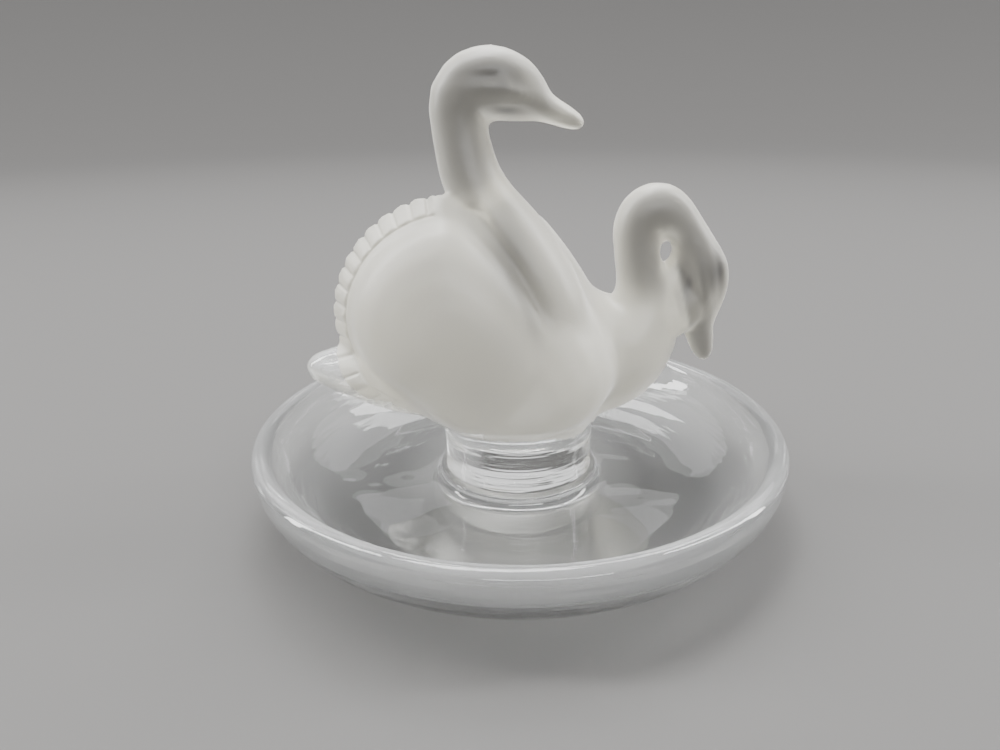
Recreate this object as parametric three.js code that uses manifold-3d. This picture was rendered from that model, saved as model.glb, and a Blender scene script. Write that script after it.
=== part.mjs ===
// Crystal swan pair on a ring dish, in millimetres, +Z up, with the origin under the middle of the dish.
// The two swans and their short round stem are one casting; the clear round dish is the other piece.
// The swans swim towards +X, the tall one on the -Y side and the bowed one on the +Y side.
import * as THREE from "three";
import { ParametricGeometry } from "three/addons/geometries/ParametricGeometry.js";
import { mergeVertices } from "three/addons/utils/BufferGeometryUtils.js";
import Module from "manifold-3d";

// Dish
const dishRadius = 50;
const dishHeight = 16.3;
const footRadius = 29.8;
const floorThickness = 5.2;
const lipWidth = 3.7;
const floorRadius = 31;
const dishFacets = 48;

// Corners that draw the curves of the dish's section
const wallSteps = 7;
const lipSteps = 5;
const innerSteps = 5;
const bossSteps = 2;

// Raised boss in the middle of the dish, and the stem bonded on top of it
const bossHeight = 2.25;
const bossMargin = 1.0;
const bossFlare = 2.6;
const stemRadius = 14.2;
const stemHeight = 7.75;
const stemRoot = 4.5;
const stemFacets = 48;
const bondGap = 0.3;

// Swans: height from the lowest point of the bellies to the crown of the tall swan
const swansHeight = 67.7;
const featherCount = 16;
const featherBorder = 3.1;
const scallopDepth = 0.4;
const featherThinning = 0.94;

// The swans' points below are drawn on a master of this height and scaled to swansHeight.
const masterHeight = 67.7;
const scale = swansHeight / masterHeight;

const satin = new THREE.MeshStandardMaterial({ color: 0xd9dadb, roughness: 0.55, metalness: 0 });
const clear = new THREE.MeshStandardMaterial({ color: 0xeef3f3, roughness: 0.04, metalness: 0 });

const wasm = await Module();
wasm.setup();

// A closed geometry as a solid: shared corners merged, collapsed triangles dropped, faces turned outwards.
function solidOf(geometry) {
  const bare = geometry.clone();
  bare.deleteAttribute("normal");
  bare.deleteAttribute("uv");
  const merged = mergeVertices(bare, 1e-4);
  const index = merged.index.array;
  const kept = [];
  for (let i = 0; i < index.length; i += 3) {
    const [a, b, c] = [index[i], index[i + 1], index[i + 2]];
    if (a !== b && b !== c && c !== a) kept.push(a, b, c);
  }
  const make = (triVerts) =>
    new wasm.Manifold(new wasm.Mesh({
      numProp: 3,
      vertProperties: merged.attributes.position.array,
      triVerts: new Uint32Array(triVerts),
    }));
  const solid = make(kept);
  return solid.volume() > 0 ? solid : make(kept.reverse());
}

function meshOf(name, solid, material) {
  const { vertProperties, triVerts } = solid.getMesh();
  const geometry = new THREE.BufferGeometry();
  geometry.setAttribute("position", new THREE.BufferAttribute(new Float32Array(vertProperties), 3));
  geometry.setIndex(new THREE.BufferAttribute(new Uint32Array(triVerts), 1));
  geometry.computeVertexNormals();
  const mesh = new THREE.Mesh(geometry, material);
  mesh.name = name;
  return mesh;
}

const signedPower = (value, power) => Math.sign(value) * Math.abs(value) ** power;

// A form between two domes. Its rim lies in the XZ plane at depth y, the near dome bulges towards -Y and
// the far one towards +Y. A fullness below 1 squares the domes. A rim point [x, z, thin, full] may have a
// fullness of its own, and a thin value below 1 flattens the form towards that point.
function pebble({ rim, centre, y, near, far, fullness = 1, stacks = 14 }) {
  const slices = rim.length;
  const surface = (u, v, target) => {
    const [x, z, thin = 1, full = fullness] = rim[Math.round(u * slices) % slices];
    const angle = Math.PI * v;
    const spread = Math.round(v * stacks) % stacks === 0 ? 0 : Math.sin(angle) ** full;
    const lift = signedPower(-Math.cos(angle), full);
    target.set(
      centre[0] + (x - centre[0]) * spread,
      y + lift * (lift < 0 ? near : far) * (1 - (1 - thin) * spread),
      centre[1] + (z - centre[1]) * spread,
    );
  };
  return solidOf(new ParametricGeometry(surface, slices, stacks));
}

// A closed smooth rim through a few [x, z, thin] points, with its corners evenly spaced.
function smoothRim(points, slices) {
  const curve = new THREE.CatmullRomCurve3(
    points.map(([x, z, thin = 1]) => new THREE.Vector3(x, thin, z)), true, "centripetal");
  return Array.from({ length: slices }, (_, i) => {
    const point = curve.getPointAt(i / slices);
    return [point.x, point.z, point.y];
  });
}

// A limb swept along a spine: each station is [x, z, y, half height in the swan's plane, half width].
// An edge power above 1 draws the section towards a lozenge. Dents are shallow hollows on both sides.
function limb({ stations, slices = 16, perStation = 2, edgePower = 1, dents = [] }) {
  const spine = new THREE.CatmullRomCurve3(
    stations.map(([x, z, y]) => new THREE.Vector3(x, y, z)), false, "catmullrom", 0.5);
  const sizes = new THREE.CatmullRomCurve3(
    stations.map(([, , , high, wide]) => new THREE.Vector3(high, wide, 0)), false, "catmullrom", 0.5);
  const stacks = (stations.length - 1) * perStation;
  const sideways = new THREE.Vector3(0, 1, 0);
  const surface = (u, v, target) => {
    const size = sizes.getPoint(v);
    const along = spine.getTangent(v);
    const outward = new THREE.Vector3().crossVectors(along, sideways).normalize();
    const across = new THREE.Vector3().crossVectors(along, outward).normalize();
    const turn = 2 * Math.PI * (Math.round(u * slices) % slices) / slices;
    const row = Math.round(v * stacks);
    let fill = row === 0 || row === stacks ? 0 : 1;
    for (const dent of dents) {
      const steps = (v * (stations.length - 1) - dent.station) / dent.reach;
      const swing = (Math.min(turn, 2 * Math.PI - turn) - dent.turn) / dent.breadth;
      fill *= 1 - dent.depth * Math.exp(-steps * steps - swing * swing);
    }
    target.copy(spine.getPoint(v))
      .addScaledVector(outward, size.x * signedPower(Math.cos(turn), edgePower) * fill)
      .addScaledVector(across, size.y * signedPower(Math.sin(turn), edgePower) * fill);
  };
  return solidOf(new ParametricGeometry(surface, slices, stacks));
}

const join = (solids) => solids.reduce((whole, next) => whole.add(next));

// A wing's dome stands square at its front edge and falls away softly towards the feather tips.
const frontFullness = 0.6;
const rearFullness = 0.92;

// The feather border and the soft fall both run out within a share of the front edge.
const borderRunOut = 0.28;
const fullnessRunOut = 0.5;
const fadeOut = (past, length) => 1 - THREE.MathUtils.smoothstep(past, 0, length);

// The rim of a wing: a round rear from the top of the back, behind, and round to under the tail, then the
// front edge back up to the top. The rear is scalloped into feather tips, or drawn in by a plain border.
function wingRim({ centre, radius, top, bottom, tuck, front, middle }, edging) {
  const { scallop, inset, cornersPerFeather, frontCorners } = edging;
  const rim = [];
  const rearCorners = featherCount * cornersPerFeather;
  for (let i = 0; i <= rearCorners; i += 1) {
    const angle = top + (bottom - top) * i / rearCorners;
    const arch = Math.abs(Math.sin(Math.PI * i / cornersPerFeather));
    const drawnIn = tuck * Math.max(0, 2 * i / rearCorners - 1) ** 2;
    const reach = radius - drawnIn - scallop * (1 - arch);
    rim.push([centre[0] + reach * Math.cos(angle), centre[1] + reach * Math.sin(angle),
      scallop > 0 ? featherThinning + (1 - featherThinning) * arch : 1]);
  }
  const last = rim[rim.length - 1];
  const points = [last, ...front, rim[0]].map(([x, z]) => new THREE.Vector3(x, 0, z));
  const edge = new THREE.CatmullRomCurve3(points, false, "centripetal");
  for (let i = 1; i < frontCorners; i += 1) {
    const point = edge.getPointAt(i / frontCorners);
    rim.push([point.x, point.z, 1]);
  }
  return rim.map(([x, z, thin], i) => {
    const along = Math.max(0, i - rearCorners) / frontCorners;
    const past = Math.min(along, 1 - along);
    const keep = 1 - inset * fadeOut(past, borderRunOut) / Math.hypot(x - middle[0], z - middle[1]);
    const full = frontFullness + (rearFullness - frontFullness) * fadeOut(past, fullnessRunOut);
    return [middle[0] + (x - middle[0]) * keep, middle[1] + (z - middle[1]) * keep, thin, full];
  });
}

// Each wing is a plate with a scalloped rear edge and a smooth dome on it, proud of the body behind it.
function wing({ y, near, far, plateNear, plateFar, ...shape }) {
  const tips = wingRim(shape, { scallop: scallopDepth, inset: 0, cornersPerFeather: 3, frontCorners: 20 });
  const smooth = wingRim(shape, { scallop: 0, inset: featherBorder, cornersPerFeather: 2, frontCorners: 18 });
  const centre = shape.middle;
  const plate = pebble({ rim: tips, centre, y, near: plateNear, far: plateFar, stacks: 6 });
  const dome = pebble({ rim: smooth, centre, y, near, far, stacks: 12 });
  return plate.add(dome);
}

// Tall swan, upright on the near side. Its body and wing lie to the left of the stem.
const tallDepth = -8;
const tallWing = {
  centre: [-9.8, 23.0], radius: 22.8, top: 1.66, bottom: 3.95, tuck: 3.3, middle: [-10, 23],
  front: [[-18.0, 5.2], [-11.0, 2.6], [-4.5, 2.8], [1.6, 5.6], [5.4, 10.4], [6.8, 16.2], [5.8, 22.0],
    [3.4, 27.8], [-0.2, 33.8], [-3.8, 39.2], [-7.6, 43.6]],
  y: tallDepth, near: 13.2, far: 7, plateNear: 6.8, plateFar: 3.4,
};
const tallBody = {
  rim: smoothRim([
    [-28.0, 26.0], [-25.5, 34.0], [-19.0, 40.5], [-10.0, 42.5], [-2.0, 40.5], [4.5, 35.5], [9.5, 30.0],
    [13.2, 24.5], [16.4, 18.5], [18.0, 12.0], [14.0, 5.0], [5.0, 0.8], [-7.0, 0.6], [-17.0, 4.2],
    [-24.5, 12.0],
  ], 36),
  centre: [2, 13], y: tallDepth + 6, near: 17.5, far: 6, fullness: 0.9, stacks: 12,
};
const tallNeck = [
  [6.0, 12.0, -7.0, 0, 0], [6.2, 16.0, -7.0, 6.0, 6.0], [5.4, 22.0, -7.2, 7.5, 8.2],
  [3.4, 28.0, -7.0, 7.6, 8.8], [0.8, 33.6, -6.6, 7.0, 8.2], [-2.4, 38.8, -6.0, 6.3, 7.0],
  [-5.4, 43.2, -5.3, 5.4, 6.0], [-7.7, 47.4, -4.8, 5.1, 5.4], [-8.9, 52.0, -4.4, 4.8, 4.9],
  [-9.5, 56.0, -4.2, 4.7, 4.6], [-9.1, 59.5, -4.1, 5.3, 4.7], [-6.9, 61.5, -4.0, 5.8, 5.1],
  [-4.2, 61.9, -4.0, 5.9, 5.3], [-1.6, 61.4, -4.0, 5.5, 5.0], [0.6, 60.4, -4.0, 4.8, 4.3],
  [2.6, 59.3, -4.0, 3.7, 3.4], [4.2, 58.4, -4.0, 2.6, 2.7], [6.2, 57.5, -4.0, 2.05, 2.4],
  [8.2, 56.6, -4.0, 1.75, 2.1], [9.8, 55.9, -4.0, 1.25, 1.5], [10.6, 55.5, -4.0, 0.7, 0.85],
  [10.9, 55.3, -4.0, 0, 0],
];
const tallTail = [
  [-8.0, 13.5, -8.0, 0, 0], [-14.0, 14.0, -8.0, 8.0, 7.5], [-20.0, 14.0, -8.3, 8.2, 7.6],
  [-25.5, 14.2, -8.6, 6.6, 6.6], [-30.5, 14.7, -8.8, 4.9, 5.2], [-34.2, 15.1, -9.0, 3.5, 3.7],
  [-36.6, 15.3, -9.1, 2.1, 2.1], [-37.6, 15.3, -9.1, 0, 0],
];

// Bowed swan, a little further forward on the far side, with its bill laid against its breast.
const bowedDepth = 8.5;
const bowedWing = {
  centre: [-6.5, 20.2], radius: 21.6, top: 1.5, bottom: 3.95, tuck: 3.0, middle: [-7, 20],
  front: [[-14.5, 2.6], [-7.0, 0.8], [0.5, 1.6], [7.0, 5.8], [11.0, 12.0], [12.2, 19.2], [11.0, 26.4],
    [7.8, 32.8], [3.0, 38.2], [-1.4, 41.0]],
  y: bowedDepth, near: 7, far: 12.2, plateNear: 3.4, plateFar: 6.2,
};
const bowedBody = {
  rim: smoothRim([
    [-24.0, 25.0], [-21.0, 33.5], [-14.0, 39.5], [-5.0, 41.8], [2.3, 40.5], [7.8, 35.0], [12.2, 28.8],
    [15.6, 23.9], [20.0, 22.6], [25.5, 22.0], [29.6, 19.0], [30.3, 14.4], [27.8, 8.2], [23.0, 3.2],
    [14.5, 0.0], [3.0, -0.4], [-9.0, 1.6], [-18.0, 6.4], [-23.0, 14.0],
  ], 40),
  centre: [6, 15], y: bowedDepth - 2.5, near: 11.5, far: 12.5, fullness: 0.9, stacks: 12,
};
const bowedNeck = [
  [5.0, 8.0, 5.2, 0, 0], [12.5, 12.1, 5.2, 11.4, 9.6], [19.6, 16.2, 5.1, 11.3, 10.2],
  [23.0, 19.4, 5.0, 8.5, 8.6], [24.1, 23.3, 4.8, 6.3, 6.9], [23.6, 27.2, 4.5, 5.3, 5.7],
  [22.5, 31.6, 4.3, 4.7, 4.9], [21.8, 34.8, 4.2, 4.4, 4.5], [21.9, 37.2, 4.1, 4.6, 4.4],
  [22.9, 39.2, 4.0, 4.9, 4.4], [24.6, 40.2, 4.0, 5.0, 4.4], [26.4, 39.8, 4.0, 4.9, 4.3],
  [28.3, 38.3, 4.0, 4.5, 4.3], [30.4, 36.0, 3.9, 4.0, 4.3],
  [32.4, 33.0, 3.8, 4.1, 4.6], [33.6, 29.8, 3.7, 4.9, 4.9], [34.0, 26.6, 3.6, 4.9, 4.9],
  [34.0, 23.8, 3.4, 4.2, 4.3], [33.8, 21.2, 3.2, 3.5, 3.4], [33.9, 18.8, 3.0, 2.9, 2.6],
  [34.4, 16.6, 2.8, 2.5, 2.2], [35.0, 14.4, 2.7, 2.0, 1.9], [35.4, 12.9, 2.6, 1.3, 1.3],
  [35.6, 12.0, 2.6, 0, 0],
];
// The bowed head is cast against its own neck: a web fills between them, thin at the top round a small hole.
const web = {
  rim: smoothRim([[22.6, 37.4, 0.3], [28.0, 38.4, 0.3], [33.0, 33.5, 0.6], [34.4, 26.5], [33.4, 20.6],
    [30.4, 17.4], [25.5, 15.6], [22.5, 20.5], [21.8, 29.0, 0.7]], 20),
  centre: [28.8, 22], y: 4, near: 5.3, far: 5.3, fullness: 0.5, stacks: 8,
};
const hole = {
  rim: smoothRim([[27.0, 35.6], [28.4, 34.4], [28.7, 32.6], [27.9, 30.6], [27.0, 29.4], [26.2, 30.8],
    [25.6, 32.8], [25.8, 34.6]], 12),
  centre: [27.1, 33], y: 4, near: 12, far: 12, fullness: 0.4, stacks: 4,
};
const bowedTail = [
  [-5.0, 11.5, 8.0, 0, 0], [-10.0, 12.0, 8.2, 7.6, 7.4], [-16.0, 11.8, 8.6, 7.6, 7.2],
  [-21.5, 12.0, 8.9, 6.0, 6.2], [-26.5, 12.4, 9.1, 4.4, 4.8], [-29.8, 12.8, 9.3, 3.0, 3.3],
  [-31.8, 13.0, 9.4, 1.8, 1.8], [-32.7, 13.0, 9.4, 0, 0],
];

// Hollows of a swan's face, counted in stations along its neck and in turns round the head.
function faceHollows(crown) {
  return [
    { station: crown + 1.6, reach: 1.3, turn: 0.95, breadth: 0.34, depth: 0.14 },
    { station: crown + 2.6, reach: 1.9, turn: 1.95, breadth: 0.26, depth: 0.1 },
  ];
}

function swans() {
  const tall = [
    pebble(tallBody),
    wing(tallWing),
    limb({ stations: tallNeck, slices: 16, dents: faceHollows(13) }),
    limb({ stations: tallTail, slices: 12, edgePower: 1.35 }),
  ];
  const bowed = [
    pebble(bowedBody),
    wing(bowedWing),
    limb({ stations: bowedNeck, slices: 16, dents: faceHollows(15) }),
    limb({ stations: bowedTail, slices: 12, edgePower: 1.35 }),
  ];
  const pierced = join([...bowed, pebble(web)]).subtract(pebble(hole));
  return join([...tall, pierced]).scale([scale, scale, scale]);
}

const bossTop = floorThickness + bossHeight;
const stemFoot = bossTop + bondGap;
const bellyBottom = stemFoot + stemHeight;

function stem() {
  const height = stemHeight + stemRoot;
  const blank = new THREE.CylinderGeometry(stemRadius, stemRadius, height, stemFacets);
  blank.rotateX(Math.PI / 2);
  blank.translate(0, 0, stemFoot + height / 2);
  return solidOf(blank);
}

// The dish is turned: a flat foot, a wall that swells up and out, a round lip, a flat floor and the boss.
function dish() {
  const lipRadius = lipWidth / 2;
  const lipHeight = dishHeight - lipRadius;
  const profile = [new THREE.Vector2(0, 0)];
  for (let i = 0; i <= wallSteps; i += 1) {
    const angle = -Math.PI / 2 * (1 - i / wallSteps);
    profile.push(new THREE.Vector2(
      footRadius + (dishRadius - footRadius) * Math.cos(angle),
      lipHeight * (1 + Math.sin(angle)),
    ));
  }
  for (let i = 1; i <= lipSteps; i += 1) {
    const angle = Math.PI * i / lipSteps;
    profile.push(new THREE.Vector2(
      dishRadius - lipRadius + lipRadius * Math.cos(angle),
      lipHeight + lipRadius * Math.sin(angle),
    ));
  }
  const innerRadius = dishRadius - lipWidth;
  for (let i = 1; i <= innerSteps; i += 1) {
    const angle = Math.PI / 2 * i / innerSteps;
    profile.push(new THREE.Vector2(
      floorRadius + (innerRadius - floorRadius) * Math.cos(angle),
      lipHeight - (lipHeight - floorThickness) * Math.sin(angle),
    ));
  }
  const bossRadius = stemRadius + bossMargin;
  for (let i = 0; i <= bossSteps; i += 1) {
    const angle = Math.PI / 2 * i / bossSteps;
    profile.push(new THREE.Vector2(
      bossRadius + bossFlare * (1 - Math.sin(angle)),
      bossTop - bossHeight * Math.cos(angle),
    ));
  }
  profile.push(new THREE.Vector2(0, bossTop));
  const turned = new THREE.LatheGeometry(profile, dishFacets);
  turned.rotateX(Math.PI / 2);
  return solidOf(turned);
}

const swanPair = new THREE.Group();
swanPair.add(meshOf("swan_pair", swans().translate([0, 0, bellyBottom]).add(stem()), satin));
swanPair.add(meshOf("dish", dish(), clear));

export default swanPair;
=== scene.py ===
# Crystal swan pair on a ring dish: a turned clear dish, and two satin swans cast in one with their stem.
import math

import bmesh
import bpy
import numpy as np
from mathutils import Matrix, Vector
from mathutils.bvhtree import BVHTree


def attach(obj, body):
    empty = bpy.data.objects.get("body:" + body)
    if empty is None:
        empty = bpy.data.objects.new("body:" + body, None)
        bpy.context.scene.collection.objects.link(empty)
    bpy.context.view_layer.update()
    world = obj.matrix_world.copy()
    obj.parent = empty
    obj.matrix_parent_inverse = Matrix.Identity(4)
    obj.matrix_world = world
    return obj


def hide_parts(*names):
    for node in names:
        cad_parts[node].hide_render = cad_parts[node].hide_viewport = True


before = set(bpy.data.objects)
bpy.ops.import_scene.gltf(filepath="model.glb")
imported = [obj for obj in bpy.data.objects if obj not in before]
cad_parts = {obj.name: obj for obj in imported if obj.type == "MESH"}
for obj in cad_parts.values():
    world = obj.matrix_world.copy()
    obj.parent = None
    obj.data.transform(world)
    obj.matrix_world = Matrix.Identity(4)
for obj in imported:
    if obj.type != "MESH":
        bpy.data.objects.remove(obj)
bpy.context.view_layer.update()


# The dish: clear lead crystal, pressed in a mould and fire-polished all over. One section is turned round
# the middle: a flat foot, a wall that swells up and out, a round lip, a flat floor and the raised boss.
DISH_RADIUS = 0.0500
DISH_HEIGHT = 0.0163
FOOT_RADIUS = 0.0298
FLOOR_THICKNESS = 0.0052
FLOOR_RADIUS = 0.0310
LIP_WIDTH = 0.0037
BOSS_RADIUS = 0.0152
BOSS_TOP = 0.00745
BOSS_FLARE = 0.0026
BOSS_EDGE = 0.0004


def add_object(name, form):
    """Turns a finished bmesh into a smooth object at the origin."""
    mesh = bpy.data.meshes.new(name)
    form.to_mesh(mesh)
    form.free()
    mesh.shade_smooth()
    thing = bpy.data.objects.new(name, mesh)
    bpy.context.scene.collection.objects.link(thing)
    return thing


def turn_section(name, section, steps):
    """Turns a section of (radius, height) points, from axis to axis, into a closed form."""
    form = bmesh.new()
    corners = [form.verts.new((radius, 0, height)) for radius, height in section]
    lines = [form.edges.new(pair) for pair in zip(corners, corners[1:])]
    bmesh.ops.spin(form, geom=corners + lines, cent=(0, 0, 0), axis=(0, 0, 1), angle=2 * math.pi,
                   steps=steps, use_merge=True)
    bmesh.ops.remove_doubles(form, verts=form.verts, dist=1e-6)
    bmesh.ops.recalc_face_normals(form, faces=form.faces)
    return add_object(name, form)


def quarter(steps, start, end):
    """Angles of a quarter of a curve, in equal steps."""
    return [start + (end - start) * i / steps for i in range(steps + 1)]


def dish_section():
    lip_radius = LIP_WIDTH / 2
    lip_height = DISH_HEIGHT - lip_radius
    inner_radius = DISH_RADIUS - LIP_WIDTH
    boss_height = BOSS_TOP - FLOOR_THICKNESS
    section = [(0, 0), (FOOT_RADIUS * 0.5, 0), (FOOT_RADIUS * 0.95, 0)]
    for angle in quarter(36, -math.pi / 2, 0):
        section.append((FOOT_RADIUS + (DISH_RADIUS - FOOT_RADIUS) * math.cos(angle),
                        lip_height * (1 + math.sin(angle))))
    for angle in quarter(20, 0, math.pi)[1:]:
        section.append((DISH_RADIUS - lip_radius + lip_radius * math.cos(angle),
                        lip_height + lip_radius * math.sin(angle)))
    for angle in quarter(28, 0, math.pi / 2)[1:]:
        section.append((FLOOR_RADIUS + (inner_radius - FLOOR_RADIUS) * math.cos(angle),
                        lip_height - (lip_height - FLOOR_THICKNESS) * math.sin(angle)))
    section.append((FLOOR_RADIUS * 0.8, FLOOR_THICKNESS))
    for angle in quarter(10, 0, math.pi / 2):
        section.append((BOSS_RADIUS + BOSS_FLARE * (1 - math.sin(angle)),
                        FLOOR_THICKNESS + (boss_height - BOSS_EDGE) * (1 - math.cos(angle))))
    for angle in quarter(5, 0, math.pi / 2)[1:]:
        section.append((BOSS_RADIUS - BOSS_EDGE * (1 - math.cos(angle)),
                        BOSS_TOP - BOSS_EDGE * (1 - math.sin(angle))))
    section += [(BOSS_RADIUS - BOSS_EDGE * 2, BOSS_TOP), (BOSS_RADIUS * 0.5, BOSS_TOP), (0, BOSS_TOP)]
    return section


def linear(colour):
    """An sRGB hex colour as linear values."""
    shares = [int(colour[i:i + 2], 16) / 255 for i in (1, 3, 5)]
    return [c / 12.92 if c <= 0.04045 else ((c + 0.055) / 1.055) ** 2.4 for c in shares] + [1.0]


def add_node(material, kind, settings=None, inputs=None):
    """Adds a node with its settings, and with its inputs set to values or linked to other nodes' outputs."""
    node = material.node_tree.nodes.new(kind)
    for name, value in (settings or {}).items():
        setattr(node, name, value)
    for name, value in (inputs or {}).items():
        if isinstance(value, bpy.types.NodeSocket):
            material.node_tree.links.new(value, node.inputs[name])
        else:
            node.inputs[name].default_value = value
    return node


def new_material(name):
    material = bpy.data.materials.new(name)
    material.use_nodes = True
    material.node_tree.nodes.clear()
    return material


dish = turn_section("crystal_dish", dish_section(), 160)

# Painted glow, a painted highlight: the dish is made milkier and whiter from this far out to this far out
# on the wall, further in on its underside, and round the foot of the stem.
PAINTED_GLOW_STARTS, PAINTED_GLOW_FULL, PAINTED_GLOW_MOST = 0.0430, 0.0475, 0.46
PAINTED_GLOW_BELOW = 0.006
PAINTED_BOSS_GLOW = 0.5
painted_edge_glow = dish.data.attributes.new("painted_edge_glow", "FLOAT", "POINT")
for vert, glow in zip(dish.data.vertices, painted_edge_glow.data):
    reach = vert.co.xy.length
    below = vert.normal.z < 0
    share = (reach - PAINTED_GLOW_STARTS + PAINTED_GLOW_BELOW * below) / (PAINTED_GLOW_FULL - PAINTED_GLOW_STARTS)
    painted_boss_glow = PAINTED_BOSS_GLOW * math.exp(-((reach - BOSS_RADIUS - BOSS_FLARE / 2) / BOSS_FLARE) ** 2)
    glow.value = max(PAINTED_GLOW_MOST * min(max(share, 0.0), 1.0), 0.0 if below else painted_boss_glow)

# Lead crystal, pressed and fire-polished: quite colourless, a strong sparkle from its high IOR, faint slow
# ripples left by the mould that bend what is seen through it, fine level lines drawn out by the polishing,
# which streak the wall and the stem, and a painted glow, a painted highlight that makes the glass milkier
# and whiter where the painted edge glow is set.
clear_crystal = new_material("lead_crystal_fire_polished")
place = add_node(clear_crystal, "ShaderNodeTexCoord")
ripple = add_node(clear_crystal, "ShaderNodeTexNoise", {}, {
    "Vector": place.outputs["Object"], "Scale": 90.0, "Detail": 1.0, "Roughness": 0.4})
ripple_bump = add_node(clear_crystal, "ShaderNodeBump", {}, {
    "Height": ripple.outputs["Fac"], "Strength": 0.22, "Distance": 0.0006})
drawn_out = add_node(clear_crystal, "ShaderNodeMapping", {}, {
    "Vector": place.outputs["Object"], "Scale": (0.15, 0.15, 8.0)})
polish_lines = add_node(clear_crystal, "ShaderNodeTexNoise", {}, {
    "Vector": drawn_out.outputs["Vector"], "Scale": 90.0, "Detail": 2.0, "Roughness": 0.5})
polish_bump = add_node(clear_crystal, "ShaderNodeBump", {}, {
    "Height": polish_lines.outputs["Fac"], "Strength": 0.35, "Distance": 0.0005,
    "Normal": ripple_bump.outputs["Normal"]})
glow = add_node(clear_crystal, "ShaderNodeAttribute", {"attribute_name": "painted_edge_glow"})
clearness = add_node(clear_crystal, "ShaderNodeMapRange", {}, {
    "Value": glow.outputs["Fac"], "To Min": 0.98, "To Max": 0.74})
clear_shader = add_node(clear_crystal, "ShaderNodeBsdfPrincipled", {}, {
    "Base Color": linear("#FBFCFC"), "Roughness": 0.015, "IOR": 1.54,
    "Transmission Weight": clearness.outputs["Result"], "Normal": polish_bump.outputs["Normal"]})
add_node(clear_crystal, "ShaderNodeOutputMaterial", {}, {"Surface": clear_shader.outputs["BSDF"]})

dish.data.materials.append(clear_crystal)
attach(dish, "root")
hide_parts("dish")


# The swans and stem: lead crystal cast in one. The swans are etched satin all over, apart from the polished
# tails; the stem is polished clear and stands on the boss over a thin bonded joint. The solid's form gets an
# even skin, which is softened and then carved by moving its points.
STEM_RADIUS = 0.0142
STEM_FOOT = 0.00775
STEM_EDGE = 0.0004
SKIN = 0.00046


def even_skin(thing, size):
    """Gives a merged solid an even skin of small faces."""
    remesh = thing.modifiers.new("even_skin", "REMESH")
    remesh.mode = "VOXEL"
    remesh.voxel_size = size
    skinned = thing.evaluated_get(bpy.context.evaluated_depsgraph_get())
    thing.data = bpy.data.meshes.new_from_object(skinned)
    thing.modifiers.clear()


def read_points(mesh):
    flat = np.empty(len(mesh.vertices) * 3)
    mesh.vertices.foreach_get("co", flat)
    return flat.reshape(-1, 3)


def write_points(mesh, points):
    mesh.vertices.foreach_set("co", points.ravel())
    mesh.update()


def read_normals(mesh):
    flat = np.empty(len(mesh.vertices) * 3)
    mesh.vertex_normals.foreach_get("vector", flat)
    return flat.reshape(-1, 3)


def read_edges(mesh):
    flat = np.empty(len(mesh.edges) * 2, dtype=np.int32)
    mesh.edges.foreach_get("vertices", flat)
    return flat.reshape(-1, 2)


def soften(values, edges, rounds, share=0.5):
    """Evens values out between neighbouring points, round after round."""
    count = len(values)
    near = np.bincount(edges.ravel(), minlength=count)[:, None]
    for _ in range(rounds):
        total = np.stack([
            np.bincount(edges[:, 0], values[edges[:, 1], axis], count)
            + np.bincount(edges[:, 1], values[edges[:, 0], axis], count)
            for axis in range(values.shape[1])], axis=1)
        values = values + share * (total / near - values)
    return values


def gentle(points, edges, rounds):
    """Softens a form and then gives back what thin and pointed places lost."""
    soft = soften(points, edges, rounds)
    return soft + soften(points - soft, edges, rounds)


def step_up(values, low, high):
    share = np.clip((values - low) / (high - low), 0, 1)
    return share * share * (3 - 2 * share)


form = bmesh.new()
form.from_mesh(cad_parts["swan_pair"].data)
bmesh.ops.remove_doubles(form, verts=form.verts, dist=1e-6)
swans = add_object("crystal_swans", form)
even_skin(swans, SKIN)

# Each wing's feather border, in millimetres: the middle and radius of its arc, where the arc starts and
# ends, how far its lower half is tucked in, and the depth at which the wing stands.
WINGS = [
    {"middle": (-9.8, 38.5), "radius": 22.8, "top": 1.66, "bottom": 3.95, "tuck": 3.3, "depth": -8.0},
    {"middle": (-6.5, 35.7), "radius": 21.6, "top": 1.50, "bottom": 3.95, "tuck": 3.0, "depth": 8.5},
]
FEATHERS = 16
BORDER = 3.1
PLATE_HALF = 7.6
FAR_INSIDE = 99.0


def rim_place(wing, points):
    """How far inside a wing's rim each point lies, in millimetres, and its share of the way along it."""
    x, y, z = (points * 1000).T
    across, up = x - wing["middle"][0], z - wing["middle"][1]
    angle = np.mod(np.arctan2(up, across), 2 * math.pi)
    along = (angle - wing["top"]) / (wing["bottom"] - wing["top"])
    rim = wing["radius"] - wing["tuck"] * np.clip(2 * along - 1, 0, 1) ** 2
    return rim - np.hypot(across, up), along


def border_place(wing, points):
    """The same for the feather border alone, counted in feathers; points off the wing lie far inside."""
    inside, along = rim_place(wing, points)
    off_the_plate = np.abs(points[:, 1] * 1000 - wing["depth"]) > PLATE_HALF
    beyond = off_the_plate | (along < 0.04) | (along > 1)
    return np.where(beyond, FAR_INSIDE, inside), along * FEATHERS


def fill_hollows(mesh, edges, amount, batches):
    """Lets hollow places fill up, as glass that flowed together does, and leaves full ones as they are."""
    near = np.bincount(edges.ravel())[:, None]
    points = read_points(mesh)
    for _ in range(batches):
        normals = read_normals(mesh)
        for _ in range(10):
            middle = np.stack([
                np.bincount(edges[:, 0], points[edges[:, 1], axis], len(points))
                + np.bincount(edges[:, 1], points[edges[:, 0], axis], len(points))
                for axis in range(3)], axis=1) / near
            rise = np.maximum(0, ((middle - points) * normals).sum(axis=1))
            points = points + normals * (rise * amount)[:, None]
        write_points(mesh, points)


def nearby(points, place, reach):
    """1 at a place, in millimetres, falling softly to 0 beyond its reach along X, Y and Z."""
    away = (points * 1000 - np.array(place)) / np.array(reach)
    return np.exp(-(away ** 2).sum(axis=1))


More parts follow.
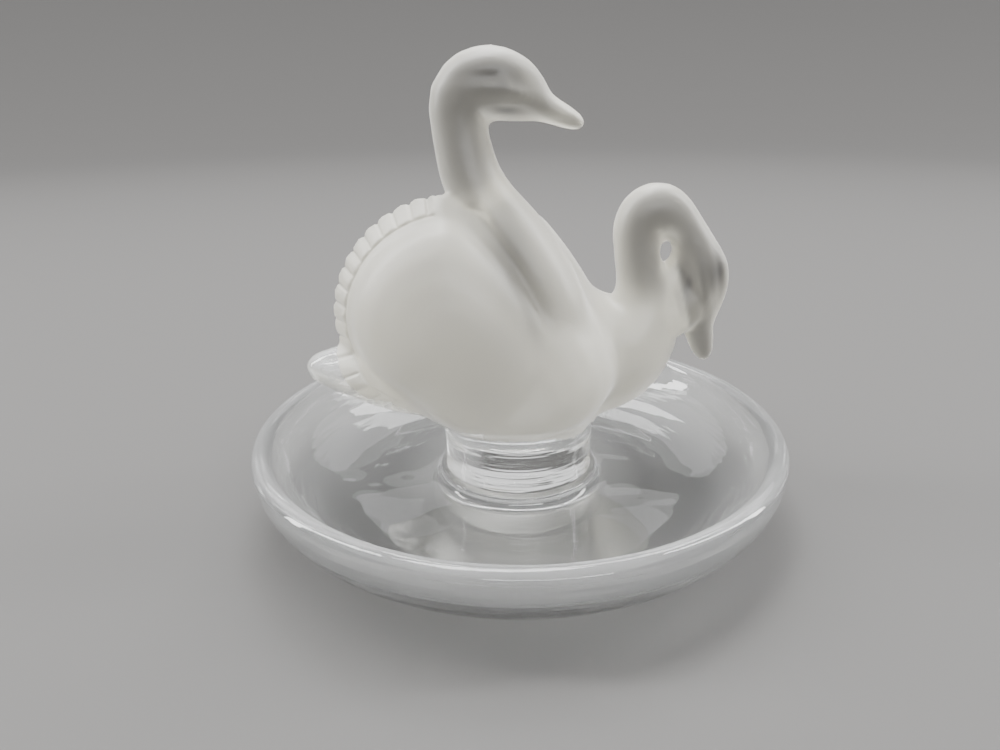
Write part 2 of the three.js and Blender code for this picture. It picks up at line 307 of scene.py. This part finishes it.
# The skin is softened as etching softens a casting: least at the bills and the feather borders. Then the
# glass flows together between the breasts and, half as much, under the bowed head.
points = read_points(swans.data)
edges = read_edges(swans.data)
light, middling, full = (gentle(points, edges, rounds) for rounds in (8, 22, 40))
x, y, z = (points * 1000).T
heads = np.maximum(step_up(z, 66, 71), step_up(x, 19, 24) * step_up(z, 27, 30))
bills = np.maximum(step_up(x, 2, 5) * step_up(z, 69, 71), step_up(x, 29, 31) * step_up(-z, -40, -36))
edging = np.zeros(len(points))
for wing in WINGS:
    inside = border_place(wing, points)[0]
    edging = np.maximum(edging, step_up(-inside, -3.6, -2.8) * step_up(inside, -2, -1.5))
fine = np.maximum(bills, edging)[:, None]
soft = full + (middling - full) * heads[:, None]
write_points(swans.data, soft + (light - soft) * fine)
x, y, z = (read_points(swans.data) * 1000).T
low_enough = np.where(x < 9, step_up(-z, -62, -58), step_up(-z, -54, -50))
between_breasts = (step_up(x, 2, 7) * step_up(-x, -25, -20) * low_enough
                   * step_up(y, -14, -10) * step_up(-y, -8, -4))
under_head = 0.5 * (step_up(x, 21, 23) * step_up(-x, -31, -29)
                    * step_up(z, 36, 40) * step_up(-z, -53, -50))
fill_hollows(swans.data, edges, 0.6 * np.maximum(between_breasts, under_head), 18)

# The stem's wall and foot are drawn true below the bellies, with a slight waist that bends the reflections.
CUT = 0.0146
TRUED_BELOW = 0.0160
TRUED_WITHIN = 0.0006
STEM_WAIST = 0.00022
form = bmesh.new()
form.from_mesh(swans.data)
bmesh.ops.bisect_plane(form, geom=form.verts[:] + form.edges[:] + form.faces[:], dist=1e-7,
                       plane_co=(0, 0, CUT), plane_no=(0, 0, 1), clear_inner=True)
for vert in form.verts:
    reach = vert.co.xy.length
    if vert.co.z < TRUED_BELOW and abs(reach - STEM_RADIUS) < TRUED_WITHIN:
        vert.co.xy *= STEM_RADIUS / reach
centres = np.array([face.calc_center_median()[:] for face in form.faces])
insides = np.minimum(*(border_place(wing, centres)[0] for wing in WINGS))
feathered = {edge for face, inside in zip(form.faces[:], insides) if -1.2 < inside < BORDER + 0.6
             for edge in face.edges}
bmesh.ops.subdivide_edges(form, edges=list(feathered), cuts=1, use_grid_fill=True)
ring = [edge for edge in form.edges if edge.is_boundary]
drops = [(STEM_RADIUS - STEM_WAIST * 0.6, 0.0130), (STEM_RADIUS - STEM_WAIST, 0.0112),
         (STEM_RADIUS - STEM_WAIST * 0.6, 0.0094), (STEM_RADIUS, STEM_FOOT + STEM_EDGE)]
for angle in quarter(4, 0, math.pi / 2)[1:]:
    drops.append((STEM_RADIUS - STEM_EDGE * (1 - math.cos(angle)),
                  STEM_FOOT + STEM_EDGE * (1 - math.sin(angle))))
drops += [(STEM_RADIUS * 0.9, STEM_FOOT), (STEM_RADIUS * 0.5, STEM_FOOT)]
for radius, height in drops:
    made = bmesh.ops.extrude_edge_only(form, edges=ring)["geom"]
    ring = [item for item in made if isinstance(item, bmesh.types.BMEdge)]
    for vert in (item for item in made if isinstance(item, bmesh.types.BMVert)):
        vert.co.xy *= radius / vert.co.xy.length
        vert.co.z = height
bmesh.ops.contextual_create(form, geom=ring)
bmesh.ops.recalc_face_normals(form, faces=form.faces)
form.to_mesh(swans.data)
form.free()
swans.data.shade_smooth()

# Feathers cut into the wings' borders: short notches from the rim inwards, and one fine line round inside.
FEATHER_PITCH = 3.26
NOTCH_DEPTH = 0.24
NOTCH_HALF = 0.26
LINE_DEPTH = 0.20
LINE_HALF = 0.22
points = read_points(swans.data)
normals = read_normals(swans.data)
cut = np.zeros(len(points))
for wing in WINGS:
    inside, phase = border_place(wing, points)
    off = np.abs(phase - np.round(phase)) * FEATHER_PITCH
    in_border = step_up(-inside, -BORDER, -BORDER + 0.8) * step_up(inside, -3, -2)
    cut += NOTCH_DEPTH * np.exp(-(off / NOTCH_HALF) ** 2) * in_border
    cut += LINE_DEPTH * np.exp(-((inside - BORDER) / LINE_HALF) ** 2)
write_points(swans.data, points - normals * (cut * 0.001)[:, None])

# The front edge of each wing stands proud of the breast: a soft crease is pressed in along it, on the
# swan's outer side. The places along the edge are millimetres along X and up.
CREASES = [
    (-1, [(-8.6, 59.6), (-6.2, 57.2), (-3.0, 53.6), (0.2, 49.4), (2.8, 45.0), (4.8, 40.6), (6.2, 36.2)]),
    (1, [(-1.4, 57.4), (2.2, 55.0), (5.4, 52.0), (8.4, 48.2), (10.8, 43.6), (12.2, 39.0)]),
]
CREASE_DEPTH = 0.75
CREASE_HALF = 1.1
points = read_points(swans.data)
normals = read_normals(swans.data)
cut = np.zeros(len(points))
for side, places in CREASES:
    away = np.full(len(points), FAR_INSIDE)
    run_out = np.zeros(len(points))
    for i, (start, end) in enumerate(zip(places, places[1:])):
        start, run = np.array(start), np.array(end) - np.array(start)
        across = (points[:, [0, 2]] * 1000 - start)
        share = np.clip(across @ run / (run @ run), 0, 1)
        gap = np.linalg.norm(across - share[:, None] * run, axis=1)
        run_out = np.where(gap < away, (i + share) / (len(places) - 1), run_out)
        away = np.minimum(away, gap)
    outer = step_up(points[:, 1] * side, 0.008, 0.011)
    fading = step_up(run_out, 0, 0.12) * step_up(-run_out, -1, -0.6)
    cut += CREASE_DEPTH * np.exp(-(away / CREASE_HALF) ** 2) * outer * fading
write_points(swans.data, points - normals * (cut * 0.001)[:, None])

# The swans' faces, the same on both sides of a head's middle plane: a place, the way it runs, its half
# length and half breadth, and its height, all in millimetres. The upright head has the eye's hollow, the
# eye, the ridge from eye to bill, the cheek and the line of the bill. The bowed head has the cheek, the
# ridge, the eye's hollow, the groove between bill and neck, and the bill's back.
UPRIGHT_MIDDLE, BOWED_MIDDLE = -4.0, 3.6
FACES = [
    (UPRIGHT_MIDDLE, [
        ((-3.2, -8.9, 78.3), (1.00, 0.0, -0.05), 4.8, 1.5, -0.60),
        ((-2.0, -9.0, 77.9), (1.00, 0.0, 0.00), 1.3, 1.1, 0.40),
        ((-0.2, -8.6, 76.3), (0.97, 0.1, -0.22), 4.4, 0.8, 0.30),
        ((-1.4, -8.3, 73.6), (0.96, 0.1, -0.25), 3.6, 1.2, -0.55),
        ((6.8, -6.2, 72.0), (0.99, 0.1, -0.11), 3.4, 0.4, -0.22),
    ]),
    (BOWED_MIDDLE, [
        ((30.9, -0.6, 43.4), (0.25, 0.0, -0.97), 3.2, 1.5, -0.55),
        ((33.6, -0.8, 42.2), (0.27, 0.0, -0.96), 4.2, 0.9, 0.40),
        ((35.8, 0.4, 45.2), (0.20, 0.0, -0.98), 3.4, 1.2, -0.55),
        ((29.4, -0.6, 37.6), (0.28, 0.0, -0.96), 4.8, 0.8, -0.80),
        ((33.2, -0.6, 36.6), (0.28, 0.0, -0.96), 4.5, 1.2, 0.45),
    ]),
]
points = read_points(swans.data)
normals = read_normals(swans.data)
rise = np.zeros(len(points))
for middle, forms in FACES:
    for side in (1, -1):
        for place, run, length, breadth, height in forms:
            place = np.array([place[0], middle + side * (place[1] - middle), place[2]])
            run = np.array([run[0], side * run[1], run[2]]) / np.linalg.norm(run)
            away = points * 1000 - place
            along = away @ run
            across = (away ** 2).sum(axis=1) - along ** 2
            rise += height * np.exp(-(along / length) ** 2 - across / breadth ** 2)
write_points(swans.data, points + normals * (rise * 0.001)[:, None])

# How deep the glass lies under each point of the skin, felt along a line, and how hollow the skin is;
# both steer the painted shade below.
points = read_points(swans.data)
normals = read_normals(swans.data)
edges = read_edges(swans.data)
surface = BVHTree.FromObject(swans, bpy.context.evaluated_depsgraph_get())
DEEPEST = 0.04
depths = np.empty(len(points))
for i, (point, normal) in enumerate(zip(points, normals)):
    inward = Vector(-normal)
    start = Vector(point) + inward * 0.0001
    far_side = surface.ray_cast(start, inward, DEEPEST)[3]
    depths[i] = DEEPEST if far_side is None else far_side
depths = soften(depths[:, None], edges, 60)[:, 0]
broad = soften(points, edges, 30)
hollows = ((broad - points) * normals).sum(axis=1)
hollows = soften(hollows[:, None], edges, 6)[:, 0]
thick = step_up(depths, 0.006, 0.026)


def bill_line(points):
    """How far a point lies before the line between the bowed head and its own neck, in millimetres."""
    x, y, z = (points * 1000).T
    return (x - 28.0) * 0.975 + (z - 46.0) * 0.220


def heads_and_necks(points):
    """1 on both heads and necks, falling softly to 0 on the bodies."""
    x, y, z = (points * 1000).T
    bowed = np.maximum(step_up(x, 15, 20) * step_up(z, 38, 44),
                       step_up(z, 26, 28) * step_up(bill_line(points), 0.2, 1.4))
    return np.maximum(step_up(z, 56, 64), bowed)


# Soft patches of painted shade and painted light, darker or lighter: a place and its reach, in millimetres,
# and how much is added, lighter where it is below 0. They lie on the upright swan's wing, along the band
# between its wing and breast, on both faces and over the small hole.
PAINTED_SHADE_PATCHES = [
    ((-14.3, -20.0, 51.7), (7, 8, 6), 0.10),
    ((-6.1, -21.0, 33.0), (7, 8, 7), 0.16),
    ((-2.2, -15.0, 53.5), (3.4, 7, 5), 0.50),
    ((0.2, -16.0, 48.5), (3.4, 7, 5), 0.50),
    ((3.2, -17.0, 43.0), (3.2, 7, 5), 0.40),
    ((-3.2, -8.9, 78.6), (6, 4, 1.6), 0.12),
    ((-1.4, -8.3, 73.4), (4, 4, 1.2), 0.40),
    ((7.5, -6.0, 72.6), (4, 4, 2.4), -0.30),
    ((31.0, -0.5, 43.1), (1.8, 4, 2.6), 0.40),
    ((35.9, 0.5, 44.8), (1.6, 4, 3.6), 0.45),
    ((26.9, 0.0, 51.4), (1.8, 4, 1.6), -0.90),
]
hollow = step_up(hollows, 0.00002, 0.0003)
# Painted shade: grey added where the glass is thick and where the skin faces front or back, most on the
# heads and necks, and the patches, each also mirrored across a middle plane.
facing = np.abs(normals[:, 1]) ** 2
painted_grey = 0.03 + 0.06 * thick + (0.08 + 0.60 * heads_and_necks(points)) * facing
for place, reach, amount in PAINTED_SHADE_PATCHES:
    painted_grey += amount * nearby(points, place, reach)
    middle = UPRIGHT_MIDDLE if place[2] > 70 else BOWED_MIDDLE if place[0] > 25 else 0.0
    painted_grey += amount * nearby(points, (place[0], 2 * middle - place[1], place[2]), reach)

# A painted highlight along the line between the bowed bill and its own neck: sharp towards the bill, soft
# towards the neck.
x, y, z = (points * 1000).T
before = bill_line(points)
painted_bill_highlight = np.exp(-(before / np.where(before > 0, 0.7, 2.0)) ** 2) * step_up(x, 24, 26)
painted_grey -= painted_bill_highlight * step_up(z, 30, 33) * step_up(-z, -48, -46)
# Painted light in the hollows of the heads and necks, but not on the bowed swan's cheek.
cheeks = nearby(points, (31.4, BOWED_MIDDLE, 42.8), (2.6, 9, 3.8))
painted_hollow_light = 0.8 * hollow * heads_and_necks(points) * (1 - cheeks)
painted_shade = swans.data.attributes.new("painted_crystal_shade", "FLOAT", "POINT")
painted_shade.data.foreach_set("value", np.clip(painted_grey - painted_hollow_light, 0, 1).astype(np.float32))

# Lead crystal, cast and then etched in acid: a close satin bloom that scatters light at the skin and lets
# it glow through, and a soft sheen at the edges. The painted shade makes places greyer and clearer, the
# others stay whiter.
satin_crystal = new_material("lead_crystal_acid_etched")
place = add_node(satin_crystal, "ShaderNodeTexCoord")
bloom = add_node(satin_crystal, "ShaderNodeTexNoise", {}, {
    "Vector": place.outputs["Object"], "Scale": 2500.0, "Detail": 2.0, "Roughness": 0.6})
bloom_bump = add_node(satin_crystal, "ShaderNodeBump", {}, {
    "Height": bloom.outputs["Fac"], "Strength": 0.08, "Distance": 0.0002})
painted_shade_node = add_node(satin_crystal, "ShaderNodeAttribute", {"attribute_name": "painted_crystal_shade"})
satin_colour = add_node(satin_crystal, "ShaderNodeMix", {"data_type": "RGBA"}, {
    "Factor": painted_shade_node.outputs["Fac"]})
# The satin's own white, and the grey of the painted shade.
COLOUR_A, COLOUR_B = 6, 7
satin_colour.inputs[COLOUR_A].default_value = linear("#FFFCEF")
satin_colour.inputs[COLOUR_B].default_value = linear("#5A595B")
painted_shade_clearness = add_node(satin_crystal, "ShaderNodeMapRange", {}, {
    "Value": painted_shade_node.outputs["Fac"], "To Min": 0.60, "To Max": 0.92})
satin_shader = add_node(satin_crystal, "ShaderNodeBsdfPrincipled", {}, {
    "Base Color": satin_colour.outputs[2], "Roughness": 0.4, "IOR": 1.54,
    "Transmission Weight": painted_shade_clearness.outputs["Result"],
    "Sheen Weight": 0.5, "Sheen Roughness": 0.4,
    "Normal": bloom_bump.outputs["Normal"]})
add_node(satin_crystal, "ShaderNodeOutputMaterial", {}, {"Surface": satin_shader.outputs["BSDF"]})

swans.data.materials.clear()
swans.data.materials.append(satin_crystal)
swans.data.materials.append(clear_crystal)

# The stem, the tails beyond the wings' rims and the wings' lower edge are polished clear. The edge's breadth
# inside the rim is in millimetres.
STEM_TOP = 0.0190
STEM_SLACK = 0.00025
TAIL_TOP = 0.036
TAIL_FRONT = -0.006
LOW_EDGE = 0.026
LOW_EDGE_BREADTH = 1.8
BEYOND_RIM = -0.1
centres = np.array([face.center[:] for face in swans.data.polygons])
x, y, z = centres.T
on_stem = (z < STEM_TOP) & (np.hypot(x, y) < STEM_RADIUS + STEM_SLACK)
inside = np.where(y < 0.5, rim_place(WINGS[0], centres)[0], rim_place(WINGS[1], centres)[0])
polished = np.where(z < LOW_EDGE, LOW_EDGE_BREADTH, BEYOND_RIM)
on_tail = (inside < polished) & (z < TAIL_TOP) & (x < TAIL_FRONT)
swans.data.polygons.foreach_set("material_index", (on_stem | on_tail).astype(np.int32))
# Painted glow, a painted highlight on the clear glass towards the tails: it is made milkier and whiter from
# 5 mm behind the middle along X, fully from 9 mm, on the tails and that side of the stem.
painted_tail_glow = swans.data.attributes.new("painted_edge_glow", "FLOAT", "POINT")
points = read_points(swans.data)
painted_tail_glow.data.foreach_set("value", step_up(-points[:, 0], 0.005, 0.009).astype(np.float32))
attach(swans, "root")
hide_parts("swan_pair")


# The studio: a plain pale table that sweeps up all round, softboxes above, behind, in front and at both
# sides, a bright even room, and the camera where the photograph was taken from, looking down on the dish.
TABLE_RADIUS = 0.7
SWEEP_RADIUS = 1.3
SWEEP_HEIGHT = 0.75
TABLE_TOP = -0.0001
sweep = [(0, TABLE_TOP), (TABLE_RADIUS * 0.5, TABLE_TOP)]
for angle in quarter(16, 0, math.pi / 2):
    sweep.append((TABLE_RADIUS + (SWEEP_RADIUS - TABLE_RADIUS) * math.sin(angle),
                  TABLE_TOP + SWEEP_HEIGHT * (1 - math.cos(angle))))
table = turn_section("studio_table", sweep, 96)

# Matt pale paint: an even ground with no gloss, which the clear dish shows up against.
table_paint = new_material("matt_pale_paint")
table_shader = add_node(table_paint, "ShaderNodeBsdfPrincipled", {}, {
    "Base Color": linear("#575655"), "Roughness": 0.7})
add_node(table_paint, "ShaderNodeOutputMaterial", {}, {"Surface": table_shader.outputs["BSDF"]})
table.data.materials.append(table_paint)


def add_softbox(name, place, size, power):
    light = bpy.data.lights.new(name, "AREA")
    light.shape = "RECTANGLE"
    light.size, light.size_y = size
    light.energy = power
    box = bpy.data.objects.new(name, light)
    box.location = place
    box.rotation_euler = (Vector((0, 0, 0.04)) - Vector(place)).to_track_quat("-Z", "Y").to_euler()
    bpy.context.scene.collection.objects.link(box)


add_softbox("softbox_over", (-0.10, 0.15, 0.90), (0.60, 0.30), 11.0)
add_softbox("softbox_left", (-0.70, 0.05, 0.50), (0.12, 0.80), 9.0)
add_softbox("softbox_right", (0.70, 0.15, 0.50), (0.12, 0.80), 7.5)
add_softbox("softbox_front", (0.20, -1.00, 0.50), (0.90, 0.12), 6.0)
add_softbox("softbox_behind", (0.10, 0.52, 0.82), (0.80, 0.25), 7.0)

room = bpy.data.worlds.new("studio_room")
room.use_nodes = True
room.node_tree.nodes["Background"].inputs["Color"].default_value = linear("#E8E8E8")
room.node_tree.nodes["Background"].inputs["Strength"].default_value = 1.6
bpy.context.scene.world = room

LENS = 28.0
CAMERA_PLACE = (0.0, -0.137268, 0.079958)
YAW = math.radians(-1.42)
PITCH = math.radians(21.62)
ROLL = math.radians(-0.67)
look = Vector((math.sin(YAW) * math.cos(PITCH), math.cos(YAW) * math.cos(PITCH), -math.sin(PITCH)))
level = Vector((math.cos(YAW), -math.sin(YAW), 0))
upright = level.cross(look)
rightward = level * math.cos(ROLL) + upright * math.sin(ROLL)
upward = upright * math.cos(ROLL) - level * math.sin(ROLL)
eye = bpy.data.cameras.new("camera")
eye.lens = LENS
eye.sensor_width = 36.0
eye.clip_start = 0.005
camera = bpy.data.objects.new("camera", eye)
turn = Matrix((rightward, upward, -look)).transposed()
camera.matrix_world = Matrix.Translation(CAMERA_PLACE) @ turn.to_4x4()
bpy.context.scene.collection.objects.link(camera)
bpy.context.scene.camera = camera
